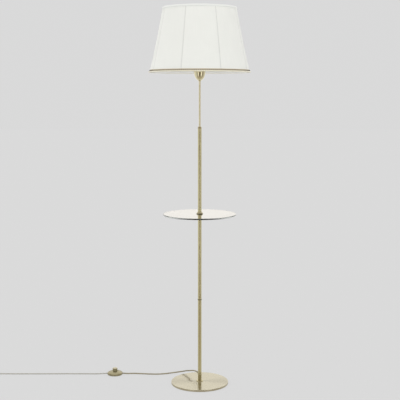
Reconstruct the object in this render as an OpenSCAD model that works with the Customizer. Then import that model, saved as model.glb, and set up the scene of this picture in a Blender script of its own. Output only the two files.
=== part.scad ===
// Floor lamp with a round glass table on its pole, an eight-gore fabric shade and a foot switch on its cord.
// Millimetres, +Z up. The origin is on the floor under the pole, and the lamp's front faces -Y.

/* [Overall] */
// Height of the shade's top above the floor
lamp_h = 1600; // [1450:5:1800]
// Height of the glass table's top face above the floor
table_h = 740; // [600:5:900]
// Height of the screwed joint between the two lower lengths of the pole
joint_h = 369; // [200:1:450]
// Height where the thick pole ends and the thin stem begins
neck_h = 1099; // [1000:1:1200]

/* [Base] */
// Diameter of the base
base_d = 246; // [220:1:300]
// Height of the base
base_h = 9; // [8.5:0.5:14]
// Rounding of the cover's upper edge
base_edge_r = 2.5; // [1.5:0.5:4]
// Thickness of the spun cover
cover_t = 0.9; // [0.6:0.1:1.5]
// Thickness of the felt under the weight
pad_t = 1; // [0.8:0.1:2]
// Height of the cover's rim above the floor
rim_lift = 0.6; // [0.3:0.1:0.8]
// Diameter of the screw that pulls the pole down on the base
screw_d = 8; // [6:1:9]
// Height of the screw's hexagonal head
screw_head_h = 3.4; // [2.5:0.1:4]
// Thickness of the washer over the screw's head
washer_t = 1; // [0.8:0.1:1.5]
// Diameter of the small ring round the pole's foot
foot_collar_d = 29; // [19:0.5:40]
// Height of the small ring round the pole's foot
foot_collar_h = 3; // [2:0.5:8]

/* [Pole] */
// Outside diameter of the pole
pole_d = 16; // [15:0.5:20]
// Wall of the pole
pole_wall = 1.2; // [0.8:0.1:1.5]
// Outside diameter of the thin stem
stem_d = 8.8; // [8.4:0.1:11]
// Wall of the thin stem
stem_wall = 1; // [0.6:0.1:1.2]
// Length of the threaded bush in each tube end
insert_h = 12; // [8:1:20]
// Outside diameter of the hollow threaded nipples
nipple_d = 10; // [9:0.5:11]
// Wall of the hollow threaded nipples
nipple_wall = 1.7; // [1:0.1:1.9]
// How far the ring between the two lower lengths stands proud of the pole
joint_collar_proud = 0.7; // [0.3:0.1:3]
// Height of the ring between the two lower lengths
joint_collar_h = 4; // [3:0.5:8]
// Height of the conical cap on the pole
cap_h = 10; // [6:1:20]
// Depth of the cap's plug in the pole
cap_plug_h = 12; // [8:1:20]

/* [Table] */
// Diameter of the glass
glass_d = 310; // [250:5:380]
// Thickness of the glass
glass_t = 6; // [5:0.5:10]
// Rounding of the glass's ground edge
glass_edge_r = 1; // [0.5:0.1:2]
// Diameter of the flanges that clamp the glass
flange_d = 27.5; // [24:0.5:50]
// Height of each flange with its cone
flange_h = 7; // [6:0.5:12]
// Thickness of each gasket
gasket_t = 1; // [0.5:0.1:2]

/* [Lampholder] */
// Diameter of the brass cup
cup_d = 48; // [43:0.5:54]
// Height of the cup's bell, from its neck to its straight rim
cup_bell_h = 37; // [32:0.5:45]
// Height of the cup's straight rim
cup_rim_h = 12; // [8:0.5:20]
// Thickness of the cup's wall
cup_wall = 0.8; // [0.6:0.1:1.2]
// Height of the cup's rim above the shade's lower edge
cup_rise = 14; // [10:1:30]
// Outside diameter of the insulating sleeve
sleeve_d = 39.5; // [38:0.5:40.5]
// Length of the insulating sleeve
sleeve_h = 38; // [34:1:50]
// Inside diameter of the threaded shell that takes the bulb
shell_d = 27; // [26.8:0.1:27.4]
// Diameter of the bulb's globe
bulb_d = 60; // [45:1:80]
// Overall length of the bulb
bulb_h = 106; // [95:1:130]

/* [Shade] */
// Height of the shade
shade_h = 266; // [220:1:320]
// Diameter of the fabric at the shade's top
shade_top_d = 305; // [240:5:360]
// Diameter of the fabric at the shade's lower edge
shade_bottom_d = 417; // [380:1:500]
// Number of fabric gores, and of wires behind their seams
gores = 8; // [6:1:10]
// Turn of the first seam from the lamp's right-hand side, in degrees
seam_turn = 24; // [0:1:44]
// Thickness of the fabric with its lining
fabric_t = 1.2; // [0.8:0.1:2]
// Gap between neighbouring gores at a seam, in degrees
seam_gap = 0.2; // [0.1:0.1:0.5]
// Diameter of the two wire rings
ring_wire_d = 4; // [3:0.5:5]
// Diameter of the upright wires
rib_wire_d = 3; // [2:0.5:3.5]
// Number of arms that carry the shade
spider_arms = 4; // [3:1:5]
// Height of the dotted braid round the lower edge
braid_h = 6; // [4:0.2:10]
// Diameter of the round cord under the braid
edge_cord_d = 5; // [3:0.2:6]
// How far the round cord hangs below the shade's lower edge
edge_cord_drop = 1.1; // [0:0.1:2]
// Height of the tape round the upper edge
binding_h = 8; // [5:1:12]

/* [Cord] */
// Diameter of the cord between the pole and the switch
cord_d = 5.5; // [5:0.1:5.8]
// Diameter of the cord between the switch and the plug
lead_d = 4.8; // [4.5:0.1:5]
// Height of the cord's outlet in the pole
outlet_h = 43.5; // [36:0.5:80]
// Direction of the cord's outlet, in degrees from the lamp's right-hand side
outlet_turn = 121.5; // [90:0.5:150]
// Length of the tapered strain relief outside the pole
relief_l = 20; // [18:1:30]
// Turns of the put-away coil
coil_turns = 6; // [4:2:8]
// Step between neighbouring turns of the coil
coil_pitch = 5.3; // [5.3:0.1:6]
// Radius of the coil at the middle of its turns
coil_mean_r = 27.2; // [27:0.1:30]

/* [Foot switch] */
// Diameter of the switch
switch_d = 69; // [60:1:80]
// Height of the dome above the switch's widest line
dome_h = 12.6; // [12:0.2:18]
// Wall of the dome
dome_wall = 1.8; // [1.2:0.1:2.2]
// Diameter of the button
button_d = 21.6; // [18:0.2:26]
// Height of the button's top above the floor
button_top_h = 30; // [27:0.5:34]
// Travel of the button
button_travel = 3.5; // [2:0.1:3.6]
// Running gap round the button
button_gap = 0.35; // [0.3:0.05:0.5]

/* [Plug] */
// Width of the plug's body at the face
plug_w = 25; // [24:0.5:28]
// Thickness of the plug's body
plug_t = 13.7; // [12:0.1:14]
// Length of the plug's body
plug_l = 34; // [30:1:40]
// Distance between the two pins
pin_pitch = 19; // [18.6:0.1:19.2]
// Diameter of the pins
pin_d = 4; // [3.8:0.1:4.2]
// Length of the pins in front of the face
pin_l = 19; // [18:0.5:20]

/* [Hidden] */

$fn = 96;
brass = [0.66, 0.62, 0.48];
pale_brass = [0.82, 0.80, 0.70];
polished_brass = [0.72, 0.68, 0.50];
steel = [0.70, 0.70, 0.72];
iron = [0.25, 0.25, 0.26];
offwhite = [0.93, 0.93, 0.90];
dark_gold = [0.58, 0.52, 0.42];
cream = [0.80, 0.76, 0.66];
cord_gold = [0.62, 0.59, 0.52];
white_wire = [0.90, 0.90, 0.88];
insulator = [0.88, 0.87, 0.84];
felt = [0.20, 0.20, 0.20];
glass_tint = [0.80, 0.88, 0.86, 0.4];

fit = 0.05;            // clearance of what is screwed or pushed together
slip = 0.1;            // clearance of what is dropped in
rest = 0.3;            // gap between soft or curved faces that lie against each other
cut = 1;               // how far a cutting shape runs past what it cuts

// Pole
pole_r = pole_d / 2;
tube_bore_r = pole_r - pole_wall;
stem_r = stem_d / 2;
nipple_r = nipple_d / 2;
nipple_bore_r = nipple_r - nipple_wall;
screw_r = screw_d / 2;
lower_top_z = joint_h - joint_collar_h / 2;
middle_bottom_z = joint_h + joint_collar_h / 2;
flange_seat = 4;       // from a flange's clamping face to the tube end inside it
glass_bottom_z = table_h - glass_t;
middle_top_z = glass_bottom_z - gasket_t - flange_seat;
upper_bottom_z = table_h + gasket_t + flange_seat;
cap_web = 2;           // the cap's floor under the stem
stem_bottom_z = neck_h - cap_plug_h + cap_web;

// Lampholder, from the shade's lower edge upwards
shade_bottom_z = lamp_h - shade_h;
rim_z = shade_bottom_z + cup_rise;
bell_top_z = rim_z - cup_rim_h;
cup_r = cup_d / 2;
cup_neck_r = stem_r + 1.4;
cup_neck_h = 2.5;      // the straight neck under the bell
cup_bottom_z = bell_top_z - cup_bell_h - cup_neck_h + 1.5;
stem_top_z = bell_top_z - cup_bell_h + 10;
core_boss_h = 9;
core_step_z = stem_top_z + core_boss_h;
core_top_z = core_step_z + 14;
shoulder_t = 2.5;      // the sleeve's shoulder, which sits on the cup's rim
hub_t = 2;             // the shade's hub ring
hub_z = rim_z + shoulder_t;
nut_h = 7;
shell_r = shell_d / 2;
shell_t = 0.8;
shell_h = 26;
sleeve_r = sleeve_d / 2;
sleeve_bore_r = shell_r + shell_t + slip;
ledge_t = 3;           // the ledge under the threaded shell
bulb_tip_z = core_top_z + 5;
bulb_r = bulb_d / 2;
bulb_cap_r = shell_r - 0.4;
bulb_cap_h = 27;

// Shade
shade_slope = (shade_bottom_d - shade_top_d) / 2 / shade_h;
shade_lean = atan(shade_slope);
fabric_top_z = lamp_h - 0.8;
fabric_bottom_z = shade_bottom_z + 0.5;
function fabric_r(z) = shade_top_d / 2 + (lamp_h - z) * shade_slope;
function behind_fabric(z, depth) = fabric_r(z) - fabric_t - depth / cos(shade_lean);
ring_wire_r = ring_wire_d / 2;
rib_wire_r = rib_wire_d / 2;
top_ring_z = lamp_h - 5;
bottom_ring_z = shade_bottom_z + 4.5;
top_ring_r = behind_fabric(top_ring_z, ring_wire_r + rest);
bottom_ring_r = behind_fabric(bottom_ring_z, ring_wire_r + rest);
weld_gap = 0.1;        // between a wire's end and the ring that it is welded to

// Cord
cord_r = cord_d / 2;
lead_r = lead_d / 2;
outlet_dir = [cos(outlet_turn), sin(outlet_turn), 0];
relief_end = (pole_r + relief_l) * outlet_dir + [0, 0, outlet_h];
pole_bend_r = 7.5;     // bend of the cord inside the pole
switch_x = -378.5;
switch_y = 118;
core_half = 12;        // half the width of the block that both cord ends meet
switch_cord_z = 5;
wide_z = 5;            // height of the switch's widest line
tie_t = 0.6;
tie_w = 4;
coil_floor = 0.1;      // gap between the tie and the floor
coil_x = -945;
coil_out_r = coil_mean_r + coil_pitch * coil_turns / 4;
coil_y = switch_y + coil_out_r;
coil_z1 = coil_floor + tie_t + rest + lead_r;
coil_z2 = coil_z1 + coil_pitch;
coil_lead_in = 6;      // straight start of the coil's tube
coil_tail = 34;        // straight end of the coil's tube, which comes down to the plug's height
plug_z = plug_t / 2 + 0.15;
plug_sleeve_l = 22;
plug_bore_l = 14;      // how deep the cord runs in the plug's sleeve
plug_x = coil_x - coil_tail + plug_bore_l;   // the mouth of the plug's sleeve
plug_face_x = plug_x - plug_sleeve_l - plug_l;

// The lamp-side cord's route after the strain relief, and the plug-side cord's route to the coil.
cord_route = [
    [-19, 33, 42.5], [-24, 44.5, 40.4], [-30, 57, 37], [-37, 68, 33.3], [-45, 78.5, 29.7], [-53, 88.5, 26.2],
    [-62, 98.5, 22.3], [-71, 107, 18], [-81, 113.5, 14.6], [-91, 117.5, 11.7], [-102, 121, 9], [-115, 124, 6.3],
    [-130, 124.6, 4],
    [-147, 121, 3], [-170, 115, 2.8], [-195, 112, 2.8], [-225, 114, 2.8], [-255, 118, 2.8],
    [-285, 122, 2.8], [-305, 122, 2.8], [-320, 120, 3.2], [-332, 118.4, 4.2], [-342, 118, 4.9],
    [-350, 118, 5], [-360, 118, 5]
];
lead_route = [
    [-401, 118, 5], [-411, 118, 5], [-422, 118, 4.6], [-434, 118, 3.8], [-448, 118, 2.9],
    [-464, 118, 2.4], [-485, 118, 2.4], [-530, 118.6, 2.4], [-590, 119, 2.4], [-650, 118.6, 2.4],
    [-710, 118, 2.4], [-770, 117.6, 2.4], [-830, 117.8, 2.4], [-880, 118, 2.6], [-910, 118, 3],
    [-928, 118, 3.4]
];

// ---------- shared shapes ----------

function unit(v) = v / norm(v);

// Points of an arc in a profile, both ends included.
function arc(centre, r, from, to, steps) =
    [for (i = [0:steps]) centre + r * [cos(from + (to - from) * i / steps), sin(from + (to - from) * i / steps)]];

// Points of an elliptic arc, with its own half width and half height.
function oval_arc(centre, w, h, from, to, steps) =
    [for (i = [0:steps]) let (a = from + (to - from) * i / steps) centre + [w * cos(a), h * sin(a)]];

module tube(r, bore_r, z0, z1) {
    translate([0, 0, z0])
        difference() {
            cylinder(r = r, h = z1 - z0);
            translate([0, 0, -cut]) cylinder(r = bore_r, h = z1 - z0 + 2 * cut);
        }
}

module wire_ring(ring_r, wire_r, z) {
    translate([0, 0, z]) rotate_extrude($fn = 128) translate([ring_r, 0]) circle(r = wire_r, $fn = 24);
}

// A straight wire between two points, stopping short of each by its own gap.
module wire(from, to, r, from_gap, to_gap) {
    d = unit(to - from);
    translate(from + from_gap * d)
        rotate([0, acos(d[2]), atan2(d[1], d[0])])
            cylinder(r = r, h = norm(to - from) - from_gap - to_gap, $fn = 24);
}

module round_rect(w, h, r) {
    square([w - 2 * r, h], center = true);
    square([w, h - 2 * r], center = true);
    for (x = [-1, 1], y = [-1, 1]) translate([x * (w / 2 - r), y * (h / 2 - r)]) circle(r = r, $fn = 32);
}

// ---------- tubes swept along a line ----------

// A smooth line through the given points, with a point at most step apart.
function smooth_line(p, step) = [
    for (i = [1:len(p) - 3]) let (n = ceil(norm(p[i + 1] - p[i]) / step)) for (k = [0:n - 1]) let (t = k / n)
        0.5 * (2 * p[i] + (p[i + 1] - p[i - 1]) * t
            + (2 * p[i - 1] - 5 * p[i] + 4 * p[i + 1] - p[i + 2]) * t * t
            + (3 * p[i] - p[i - 1] - 3 * p[i + 1] + p[i + 2]) * t * t * t),
    p[len(p) - 2]
];

function ring_at(p, d, r, sides) =
    let (side = unit(cross(d, [0, 0, 1])), up = cross(side, d))
    [for (k = [0:sides - 1]) p + r * (cos(360 * k / sides) * side + sin(360 * k / sides) * up)];

// The direction at point i: the given ones at the ends, and between its neighbours elsewhere.
function heading(line, i, first, last) =
    i == 0 ? unit(first) : i == len(line) - 1 ? unit(last) : unit(line[i + 1] - line[i - 1]);

module swept_tube(line, r, sides, first, last) {
    n = len(line);
    points = [for (i = [0:n - 1]) each ring_at(line[i], heading(line, i, first, last), r, sides)];
    walls = [
        for (i = [0:n - 2], k = [0:sides - 1])
            let (a = i * sides + k, b = i * sides + (k + 1) % sides)
                each [[a, b, b + sides], [a, b + sides, a + sides]]
    ];
    ends = [
        for (k = [1:sides - 2]) each [[0, k + 1, k], [(n - 1) * sides, (n - 1) * sides + k, (n - 1) * sides + k + 1]]
    ];
    polyhedron(points = points, faces = concat(walls, ends), convexity = 12);
}

// ---------- base ----------

module base_cover() {
    out_r = base_d / 2;
    round_out = [out_r - base_edge_r, base_h - base_edge_r];
    color(pale_brass)
        rotate_extrude($fn = 180)
            polygon(concat(
                [[screw_r + rest, base_h - cover_t], [screw_r + rest, base_h]],
                arc(round_out, base_edge_r, 90, 0, 6),
                [[out_r, rim_lift], [out_r - cover_t, rim_lift]],
                arc(round_out, base_edge_r - cover_t, 0, 90, 6)
            ));
}

recess_r = screw_r * 2 + 7;
recess_h = screw_head_h + washer_t + 0.2;

module base_weight() {
    top_z = base_h - cover_t;
    color(iron)
        difference() {
            rotate_extrude($fn = 180) {
                out_r = base_d / 2 - cover_t - rest;
                bevel = base_edge_r;
                polygon([[screw_r + rest, pad_t], [out_r, pad_t], [out_r, top_z - bevel],
                    [out_r - bevel, top_z], [screw_r + rest, top_z]]);
            }
            translate([0, 0, pad_t - cut]) cylinder(r = recess_r, h = recess_h + cut);
        }
}

module base_pad() {
    color(felt) tube(base_d / 2 - cover_t - 2, recess_r + 3, 0, pad_t);
}

head_z = pad_t + 0.2;

module base_washer() {
    color(steel) tube(screw_r * 2 + 2, screw_r + 0.2, head_z + screw_head_h, head_z + screw_head_h + washer_t);
}

module base_screw() {
    color(steel) {
        translate([0, 0, head_z]) cylinder(r = screw_r * 1.85, h = screw_head_h, $fn = 6);
        cylinder_from(screw_r - fit, head_z + screw_head_h / 2, base_h + insert_h - 1);
    }
}

module cylinder_from(r, z0, z1) {
    translate([0, 0, z0]) cylinder(r = r, h = z1 - z0);
}

module foot_collar() {
    out_r = foot_collar_d / 2;
    bore_r = pole_r + slip;
    round_r = min(1.2, foot_collar_h / 2, (out_r - bore_r) / 2);
    color(brass)
        rotate_extrude()
            polygon(concat(
                [[bore_r, base_h], [out_r, base_h]],
                arc([out_r - round_r, base_h + foot_collar_h - round_r], round_r, 0, 90, 6),
                [[bore_r, base_h + foot_collar_h]]
            ));
}

// ---------- pole ----------

module lower_tube() {
    color(brass)
        difference() {
            tube(pole_r, tube_bore_r, base_h, lower_top_z);
            translate([0, 0, outlet_h]) rotate([0, 90, outlet_turn])
                cylinder(r = cord_r + 1.25, h = pole_r + cut, $fn = 48);
        }
}

module middle_tube() {
    color(brass) tube(pole_r, tube_bore_r, middle_bottom_z, middle_top_z);
}

module upper_tube() {
    color(brass) tube(pole_r, tube_bore_r, upper_bottom_z, neck_h);
}

module tube_inserts() {
    out_r = tube_bore_r - fit;
    color(steel) {
        tube(out_r, screw_r, base_h, base_h + insert_h);
        for (z = [lower_top_z - insert_h, middle_bottom_z, middle_top_z - insert_h, upper_bottom_z])
            tube(out_r, nipple_r + fit, z, z + insert_h);
    }
}

module joint_collar() {
    out_r = pole_r + joint_collar_proud;
    bore_r = nipple_r + slip;
    edge = 0.6;
    groove = 0.5;
    mid_z = (lower_top_z + middle_bottom_z) / 2;
    color(dark_gold)
        rotate_extrude()
            polygon([[bore_r, lower_top_z], [out_r - edge, lower_top_z], [out_r, lower_top_z + edge],
                [out_r, mid_z - groove], [out_r - groove, mid_z], [out_r, mid_z + groove],
                [out_r, middle_bottom_z - edge], [out_r - edge, middle_bottom_z], [bore_r, middle_bottom_z]]);
}

module joint_nipple() {
    color(steel) tube(nipple_r, nipple_bore_r, lower_top_z - insert_h + 1, middle_bottom_z + insert_h - 1);
}

module tube_cap() {
    plug_r = tube_bore_r - fit;
    lip_r = pole_r + 0.3;
    top_r = stem_r + 0.9;
    bore_r = stem_r + slip;
    color(brass)
        rotate_extrude()
            polygon(concat(
                [[stem_r - stem_wall, neck_h - cap_plug_h], [plug_r, neck_h - cap_plug_h], [plug_r, neck_h],
                    [lip_r, neck_h]],
                oval_arc([top_r, neck_h + cap_h * 0.2], lip_r - top_r, cap_h * 0.8, 0, 90, 6),
                [[bore_r, neck_h + cap_h], [bore_r, stem_bottom_z], [stem_r - stem_wall, stem_bottom_z]]
            ));
}

module stem() {
    color(brass) tube(stem_r, stem_r - stem_wall, stem_bottom_z, stem_top_z);
}

// The cord's run inside the pole: down from the lampholder, round a short bend and out through the strain relief.
module pole_lead() {
    bend_z = outlet_h + pole_bend_r;
    color(cord_gold)
        rotate([0, 0, outlet_turn]) {
            translate([0, 0, bend_z]) cylinder(r = cord_r, h = core_step_z - bend_z, $fn = 32);
            translate([pole_bend_r, 0, bend_z]) rotate([90, 0, 0]) rotate([0, 0, 180])
                rotate_extrude(angle = 90) translate([pole_bend_r, 0]) circle(r = cord_r, $fn = 32);
            translate([pole_bend_r, 0, outlet_h]) rotate([0, 90, 0])
                cylinder(r = cord_r, h = pole_r + relief_l - pole_bend_r, $fn = 32);
        }
}

module cord_bushing() {
    bore_r = cord_r + slip;
    neck_r = cord_r + 1.2;
    flange_r = cord_r + 2.2;
    flange_end = pole_r + 1.8;
    color(cord_gold)
        rotate([0, 0, outlet_turn]) translate([0, 0, outlet_h])
            difference() {
                union() {
                    rotate([0, 90, 0]) translate([0, 0, tube_bore_r]) cylinder(r = neck_r, h = 3, $fn = 48);
                    difference() {
                        rotate([0, 90, 0]) translate([0, 0, tube_bore_r])
                            cylinder(r = flange_r, h = flange_end - tube_bore_r, $fn = 48);
                        translate([0, 0, -flange_r - cut]) cylinder(r = pole_r + fit, h = 2 * (flange_r + cut));
                    }
                    rotate([0, 90, 0]) translate([0, 0, flange_end - 0.5])
                        cylinder(r1 = neck_r + 0.3, r2 = bore_r + 0.4, h = pole_r + relief_l - flange_end + 0.5, $fn = 48);
                }
                rotate([0, 90, 0]) translate([0, 0, tube_bore_r - cut])
                    cylinder(r = bore_r, h = relief_l + 3 * cut + pole_wall, $fn = 48);
            }
}

// ---------- table ----------

module glass_top() {
    out_r = glass_d / 2;
    e = glass_edge_r;
    color(glass_tint)
        rotate_extrude($fn = 180)
            polygon(concat(
                [[nipple_r + 1, glass_bottom_z]],
                arc([out_r - e, glass_bottom_z + e], e, -90, 0, 4),
                arc([out_r - e, table_h - e], e, 0, 90, 4),
                [[nipple_r + 1, table_h]]
            ));
}

module table_nipple() {
    color(steel) tube(nipple_r, nipple_bore_r, middle_top_z - insert_h + 1, upper_bottom_z + insert_h - 1);
}

// A flange with its clamping face at z = 0 and its tube above.
module flange() {
    rim_r = flange_d / 2;
    rim_t = 2.6;
    waist_r = pole_r + 1.2;
    e = 0.8;
    rotate_extrude()
        polygon(concat(
            [[nipple_r + slip, 0], [rim_r - e, 0]],
            arc([rim_r - e, e], e, -90, 0, 3),
            arc([rim_r - e, rim_t - e], e, 0, 60, 3),
            [[waist_r, flange_h - 1], [waist_r, flange_h], [pole_r + slip, flange_h],
                [pole_r + slip, flange_seat], [nipple_r + slip, flange_seat]]
        ));
}

module lower_flange() {
    color(brass) translate([0, 0, glass_bottom_z - gasket_t]) mirror([0, 0, 1]) flange();
}

module upper_flange() {
    color(brass) translate([0, 0, table_h + gasket_t]) flange();
}

module gasket(z) {
    color(felt) tube(flange_d / 2 - 0.6, nipple_r + 0.3, z, z + gasket_t);
}

module lower_gasket() {
    gasket(glass_bottom_z - gasket_t);
}

module upper_gasket() {
    gasket(table_h);
}

// ---------- lampholder and bulb ----------

module socket_cup() {
    steps = 12;
    neck_angle = asin(cup_neck_r / cup_r);
    in_r = cup_r - cup_wall;
    bore_r = stem_r + fit;
    bore_angle = asin(bore_r / in_r);
    color(polished_brass)
        rotate_extrude()
            polygon(concat(
                [[bore_r, cup_bottom_z], [cup_neck_r, cup_bottom_z]],
                oval_arc([0, bell_top_z], cup_r, cup_bell_h, -90 + neck_angle, 0, steps),
                [[cup_r, rim_z], [in_r, rim_z]],
                oval_arc([0, bell_top_z], in_r, cup_bell_h - cup_wall, 0, -90 + bore_angle, steps)
            ));
}

module holder_core() {
    boss_r = 9;
    body_r = 16.5;
    wire_hole = 1.6;
    color(insulator)
        difference() {
            union() {
                cylinder_from(boss_r, stem_top_z, core_step_z + cut);
                cylinder_from(body_r, core_step_z, core_top_z);
            }
            cylinder_from(cord_r + rest, stem_top_z - cut, core_step_z);
            for (side = [-1, 1]) translate([side * 11, 0, 0]) cylinder_from(wire_hole, core_step_z - cut, core_top_z + cut);
        }
}

module holder_contact() {
    strip_t = 0.6;
    strip_w = 6;
    color(polished_brass)
        translate([0, strip_w / 2, core_top_z]) rotate([90, 0, 0])
            linear_extrude(height = strip_w)
                polygon([[-8, 0], [8, 0], [8, strip_t], [3.5, strip_t], [-1, 4.4], [-4, 4.6], [-4, 4],
                    [-1.4, 3.8], [2.2, strip_t], [-8, strip_t]]);
}

module holder_sleeve() {
    shoulder_r = cup_r + 1.5;
    color(insulator)
        rotate_extrude()
            polygon([[shell_r - 1.5, core_top_z], [sleeve_r, core_top_z], [sleeve_r, rim_z],
                [shoulder_r, rim_z], [shoulder_r, rim_z + shoulder_t], [sleeve_r, rim_z + shoulder_t],
                [sleeve_r, core_top_z + sleeve_h], [sleeve_bore_r, core_top_z + sleeve_h],
                [sleeve_bore_r, core_top_z + ledge_t], [shell_r - 1.5, core_top_z + ledge_t]]);
}

module screw_shell() {
    z = core_top_z + ledge_t;
    color(polished_brass) tube(shell_r + shell_t, shell_r, z, z + shell_h);
}

module shade_nut() {
    out_r = sleeve_r + 8;
    edge = 1;
    z0 = hub_z + hub_t;
    z1 = z0 + nut_h;
    color(insulator)
        rotate_extrude()
            polygon([[sleeve_r + slip, z0], [out_r - edge, z0], [out_r, z0 + edge], [out_r, z1 - edge],
                [out_r - edge, z1], [sleeve_r + slip, z1]]);
}

module bulb_cap() {
    tip_r = 4.5;
    wall = 0.9;
    skirt_z = bulb_tip_z + 4;
    color(steel)
        rotate_extrude()
            polygon([[0, bulb_tip_z], [tip_r, bulb_tip_z + 0.8], [bulb_cap_r - 2, skirt_z - 0.5],
                [bulb_cap_r, skirt_z + 1], [bulb_cap_r, bulb_tip_z + bulb_cap_h],
                [bulb_cap_r - wall, bulb_tip_z + bulb_cap_h], [bulb_cap_r - wall, skirt_z + 3],
                [0, skirt_z + 3]]);
}

// A pear-shaped envelope: a globe, and a neck that leaves it on the line that touches both.
module bulb_glass() {
    wall = 0.8;
    neck_r = bulb_cap_r - 1;
    neck_z = bulb_tip_z + bulb_cap_h - 6;
    flare_z = max(bulb_tip_z + bulb_cap_h + 2, core_top_z + sleeve_h);
    globe_z = bulb_tip_z + bulb_h - bulb_r;
    away = norm([neck_r, globe_z - flare_z]);
    touch = -90 + atan2(neck_r, globe_z - flare_z) + acos(bulb_r / away);
    steps = 16;
    color(offwhite)
        rotate_extrude()
            polygon(concat(
                [[neck_r - wall, neck_z], [neck_r, neck_z], [neck_r, flare_z]],
                arc([0, globe_z], bulb_r, touch, 90, steps),
                arc([0, globe_z], bulb_r - wall, 90, touch, steps),
                [[neck_r - wall, flare_z]]
            ));
}

// ---------- shade ----------

function seam_angle(k) = seam_turn + k * 360 / gores;

module shade_top_ring() {
    color(white_wire) wire_ring(top_ring_r, ring_wire_r, top_ring_z);
}

module shade_bottom_ring() {
    color(white_wire) wire_ring(bottom_ring_r, ring_wire_r, bottom_ring_z);
}

module shade_ribs() {
    stop = ring_wire_r + weld_gap;
    color(white_wire)
        for (k = [0:gores - 1]) rotate([0, 0, seam_angle(k)])
            wire([bottom_ring_r, 0, bottom_ring_z], [top_ring_r, 0, top_ring_z], rib_wire_r, stop, stop);
}

module shade_spider() {
    hub_bore_r = sleeve_r + 0.4;
    hub_r = sleeve_r + 11;
    arm_z = hub_z + hub_t / 2;
    color(white_wire) {
        tube(hub_r, hub_bore_r, hub_z, hub_z + hub_t);
        for (k = [0:spider_arms - 1]) rotate([0, 0, seam_angle(0.5) + k * 360 / spider_arms])
            wire([hub_r - 1.2, 0, arm_z], [bottom_ring_r, 0, bottom_ring_z], rib_wire_r, 0, ring_wire_r + weld_gap);
    }
}

// One strip of the shade's cone, between two heights and two depths behind the fabric's face.
module cone_strip(z0, z1, out, in) {
    polygon([[fabric_r(z0) + out, z0], [fabric_r(z1) + out, z1], [fabric_r(z1) - in, z1], [fabric_r(z0) - in, z0]]);
}

module shade_fabric() {
    color(offwhite)
        for (k = [0:gores - 1]) rotate([0, 0, seam_angle(k) + seam_gap / 2])
            rotate_extrude(angle = 360 / gores - seam_gap, $fn = 180)
                cone_strip(fabric_bottom_z, fabric_top_z, 0, fabric_t);
}

module shade_top_binding() {
    tape_t = 0.7;
    z0 = lamp_h - binding_h;
    color(offwhite)
        rotate_extrude($fn = 180)
            polygon([[fabric_r(z0) + slip, z0], [fabric_r(z0) + tape_t, z0], [fabric_r(lamp_h) + tape_t, lamp_h],
                [fabric_r(lamp_h) - fabric_t, lamp_h], [fabric_r(fabric_top_z) - fabric_t, fabric_top_z + slip],
                [fabric_r(fabric_top_z) + slip, fabric_top_z + slip]]);
}

module shade_braid() {
    z0 = shade_bottom_z - edge_cord_drop + edge_cord_d + slip;
    color(dark_gold) rotate_extrude($fn = 180) cone_strip(z0, z0 + braid_h, 1.2, -slip);
}

module shade_cord() {
    r = edge_cord_d / 2;
    z = shade_bottom_z - edge_cord_drop + r;
    color(cream) wire_ring(fabric_r(z) + (r + slip) / cos(shade_lean), r, z);
}

// ---------- cord ----------

module cord_to_switch() {
    start = relief_end;
    end = [switch_x + core_half, switch_y, switch_cord_z];
    line = concat([start - 10 * outlet_dir, start], cord_route, [end, end - [10, 0, 0]]);
    color(cord_gold) swept_tube(smooth_line(line, 2.6 * cord_d), cord_r, 8, outlet_dir, [-1, 0, 0]);
}

module cord_to_plug() {
    start = [switch_x - core_half, switch_y, switch_cord_z];
    end = [coil_x + coil_lead_in, switch_y, coil_z1];
    line = concat([start + [10, 0, 0], start], lead_route, [end, end - [10, 0, 0]]);
    color(cord_gold) swept_tube(smooth_line(line, 3.2 * lead_d), lead_r, 8, [-1, 0, 0], [-1, 0, 0]);
}

function ease(t) = let (u = min(max(t, 0), 1)) u * u * (3 - 2 * u);

// The coil after t turns: it spirals in on the lower layer, climbs a layer in the half turn where it
// reverses, and spirals out again on the upper one.
function coil_at(t) =
    let (r = coil_out_r - coil_pitch * min(t, coil_turns - t), a = -90 - 360 * t)
    [coil_x + r * cos(a), coil_y + r * sin(a), coil_z1 + coil_pitch * ease(2 * (t - coil_turns / 2) + 0.5)];

coil_rings = 24;       // rings in each turn
tail_rings = 5;
coil_line = concat(
    [[coil_x + coil_lead_in, switch_y, coil_z1]],
    [for (i = [0:coil_turns * coil_rings]) coil_at(i / coil_rings)],
    [for (i = [1:tail_rings]) [coil_x - coil_tail * i / tail_rings, switch_y,
        coil_z2 + (plug_z - coil_z2) * ease(i / (tail_rings - 2))]]
);
coil_gap = min([
    for (i = [0:len(coil_line) - 1]) for (k = [i + coil_rings / 2:1:len(coil_line) - 1])
        norm(coil_line[i] - coil_line[k])
]) - lead_d;
echo(least_gap_between_the_turns_of_the_coil = coil_gap);

module cord_coil() {
    color(cord_gold) swept_tube(coil_line, lead_r, 6, [-1, 0, 0], [-1, 0, 0]);
}

// A strap round all the turns at the coil's back, where they lie half a step further in.
module cord_tie() {
    turns_w = coil_pitch * (coil_turns / 2 - 1) + lead_d + 2 * rest;
    turns_h = coil_pitch + lead_d + 2 * rest;
    mid_r = coil_out_r - coil_pitch * coil_turns / 4;
    color(felt)
        translate([coil_x - tie_w / 2, coil_y + mid_r, (coil_z1 + coil_z2) / 2])
            rotate([90, 0, 90])
                linear_extrude(height = tie_w)
                    difference() {
                        round_rect(turns_w + 2 * tie_t, turns_h + 2 * tie_t, 1 + tie_t);
                        round_rect(turns_w, turns_h, 1);
                    }
}

// ---------- foot switch ----------

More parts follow.
